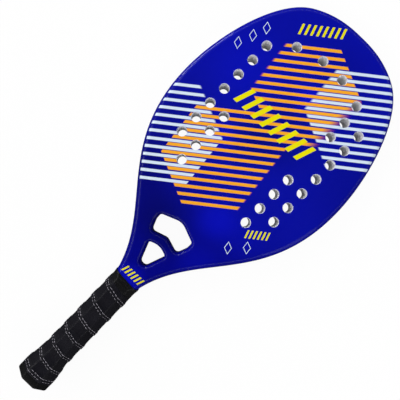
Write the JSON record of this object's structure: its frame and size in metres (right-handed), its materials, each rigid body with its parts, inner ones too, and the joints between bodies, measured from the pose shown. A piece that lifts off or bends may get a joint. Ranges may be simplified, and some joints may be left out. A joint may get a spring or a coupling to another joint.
{
  "type": "beach tennis racket",
  "caption": "Flat drilled racket head with rolled edges and throat windows, on a wound octagonal grip with a flared butt, for striking a soft ball over a net.",
  "frame": {"origin": "under the middle of the racket as it lies on its back, at the height of the butt collar's lowest flat", "axes": "+Y along the handle towards the tip of the head, +Z out of the front face, +X across the head"},
  "size_m": [0.221, 0.5, 0.0368],
  "materials": {
    "lacquered_laminate": "clear lacquer over blue print on fibre laminate",
    "bare_fibre": "cured fibre laminate as it leaves the mould",
    "eva_foam": "drilled closed-cell foam",
    "pallet_foam": "moulded structural foam",
    "moulded_cap": "fine matt moulding",
    "stitched_wrap": "soft grained synthetic leather with light stitching",
    "vinyl_tape": "stretched smooth tape"
  },
  "bodies": {
    "root": {"front_skin": "lacquered_laminate", "back_skin": "lacquered_laminate", "front_throat_skin": "lacquered_laminate", "back_throat_skin": "lacquered_laminate", "frame_tube": "bare_fibre", "foam_core": "eva_foam", "head_bridge": "bare_fibre", "throat_insert": "eva_foam", "leg_spacer": "eva_foam", "front_pallet": "pallet_foam", "back_pallet": "pallet_foam", "butt_cap": "moulded_cap", "grip_wrap": "stitched_wrap", "finishing_tape": "vinyl_tape"}
  },
  "joints": []
}
